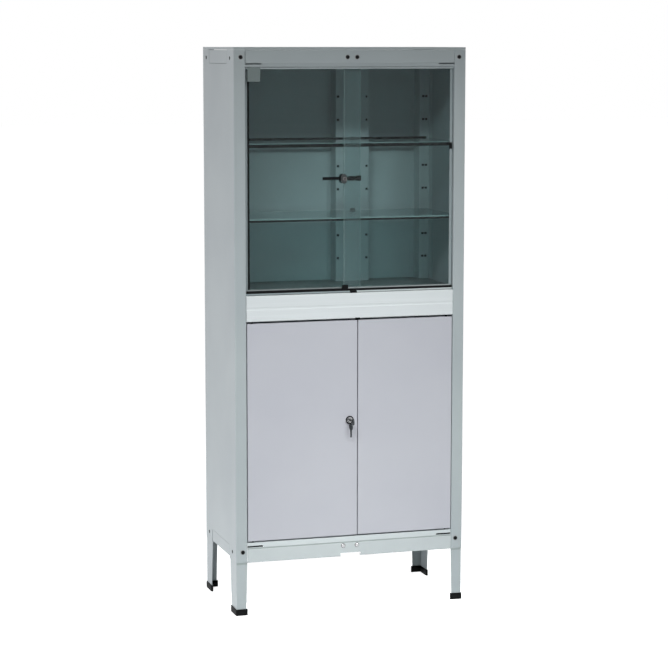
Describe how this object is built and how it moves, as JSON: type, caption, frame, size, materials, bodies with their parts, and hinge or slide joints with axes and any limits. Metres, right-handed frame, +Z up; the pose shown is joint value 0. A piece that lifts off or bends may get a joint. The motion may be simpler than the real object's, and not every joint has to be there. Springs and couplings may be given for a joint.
{
  "type": "medical cabinet",
  "caption": "Tall steel medical cabinet on tapered legs, with sliding glass panes and a ratchet lock over glass shelves, and hinged steel doors with a key lock below.",
  "frame": {"origin": "under the middle of the object's bounding box, key included, on the floor", "axes": "+X to the right seen from the front, -Y out of the front, +Z up"},
  "size_m": [0.7514, 0.4426, 1.768],
  "materials": {
    "case_paint": "satin",
    "pale_paint": "satin",
    "door_paint": "satin",
    "clear_glass": "polished",
    "bright_metal": "polished",
    "dark_steel": "satin",
    "track_metal": "satin",
    "black_plastic": "matte"
  },
  "bodies": {
    "case": {"side_panel_left": "case_paint", "top_side_rail_left": "case_paint", "bottom_side_rail_left": "case_paint", "rear_corner_upright_left": "case_paint", "shelf_runner_left": "case_paint", "side_panel_right": "case_paint", "top_side_rail_right": "case_paint", "bottom_side_rail_right": "case_paint", "rear_corner_upright_right": "case_paint", "shelf_runner_right": "case_paint", "top_front_rail": "case_paint", "bottom_front_rail": "pale_paint", "top_panel": "pale_paint", "bottom_deck": "case_paint", "middle_deck": "case_paint", "middle_fascia": "pale_paint", "back_panel": "case_paint", "rear_single_upright": "case_paint", "leg_front_left": "pale_paint", "foot_front_left": "black_plastic", "leg_front_right": "pale_paint", "foot_front_right": "black_plastic", "leg_back_left": "pale_paint", "foot_back_left": "black_plastic", "leg_back_right": "pale_paint", "foot_back_right": "black_plastic", "glass_shelf_lower": "clear_glass", "glass_shelf_upper": "clear_glass", "shelf_clip_lower_front_left": "black_plastic", "shelf_clip_lower_front_right": "black_plastic", "shelf_clip_lower_rear_left": "black_plastic", "shelf_clip_lower_rear_right": "black_plastic", "shelf_clip_upper_front_left": "black_plastic", "shelf_clip_upper_front_right": "black_plastic", "shelf_clip_upper_rear_left": "black_plastic", "shelf_clip_upper_rear_right": "black_plastic", "steel_shelf": "case_paint", "top_glass_track": "track_metal", "bottom_glass_track": "dark_steel", "glass_keeper_plate": "case_paint", "glass_stop": "black_plastic", "left_door_pin_top": "bright_metal", "left_door_pin_bottom": "bright_metal", "right_door_pin_top": "bright_metal", "right_door_pin_bottom": "bright_metal", "door_catch": "black_plastic"},
    "left_pane": {"left_glass": "clear_glass", "glass_lock_bar": "dark_steel"},
    "right_pane": {"right_glass": "clear_glass", "right_glass_glide": "black_plastic", "glass_lock_body": "bright_metal"},
    "ratchet_plug": {"glass_lock_plug": "bright_metal"},
    "left_leaf": {"left_door": "door_paint", "door_lock_barrel": "bright_metal"},
    "right_leaf": {"right_door": "door_paint"},
    "lock_turn": {"door_lock_plug": "bright_metal", "door_lock_cam": "dark_steel", "door_key": "bright_metal"},
    "spare_keys": {"key_ring": "bright_metal", "spare_key": "bright_metal"}
  },
  "joints": [
    {"name": "left_glass_slide", "type": "slide", "parent": "case", "child": "left_pane", "axis": [1, 0, 0], "range_m": [0, 0.29]},
    {"name": "right_glass_slide", "type": "slide", "parent": "case", "child": "right_pane", "axis": [1, 0, 0], "range_m": [-0.29, 0]},
    {"name": "ratchet_lock_turn", "type": "hinge", "parent": "right_pane", "child": "ratchet_plug", "pos_m": [-0.024, -0.17165, 1.364], "axis": [0, -1, 0], "range_deg": [0, 90]},
    {"name": "left_door_hinge", "type": "hinge", "parent": "case", "child": "left_leaf", "pos_m": [-0.3185, -0.16135, 0.58], "axis": [0, 0, -1], "range_deg": [0, 110]},
    {"name": "right_door_hinge", "type": "hinge", "parent": "case", "child": "right_leaf", "pos_m": [0.3185, -0.16135, 0.58], "axis": [0, 0, 1], "range_deg": [0, 110]},
    {"name": "door_lock_turn", "type": "hinge", "parent": "left_leaf", "child": "lock_turn", "pos_m": [-0.005, -0.16935, 0.606], "axis": [0, -1, 0], "range_deg": [0, 90]},
    {"name": "spare_key_swing", "type": "hinge", "parent": "left_leaf", "child": "spare_keys", "pos_m": [-0.005, -0.1871, 0.606], "axis": [0, -1, 0], "range_deg": [-45, 45]}
  ]
}
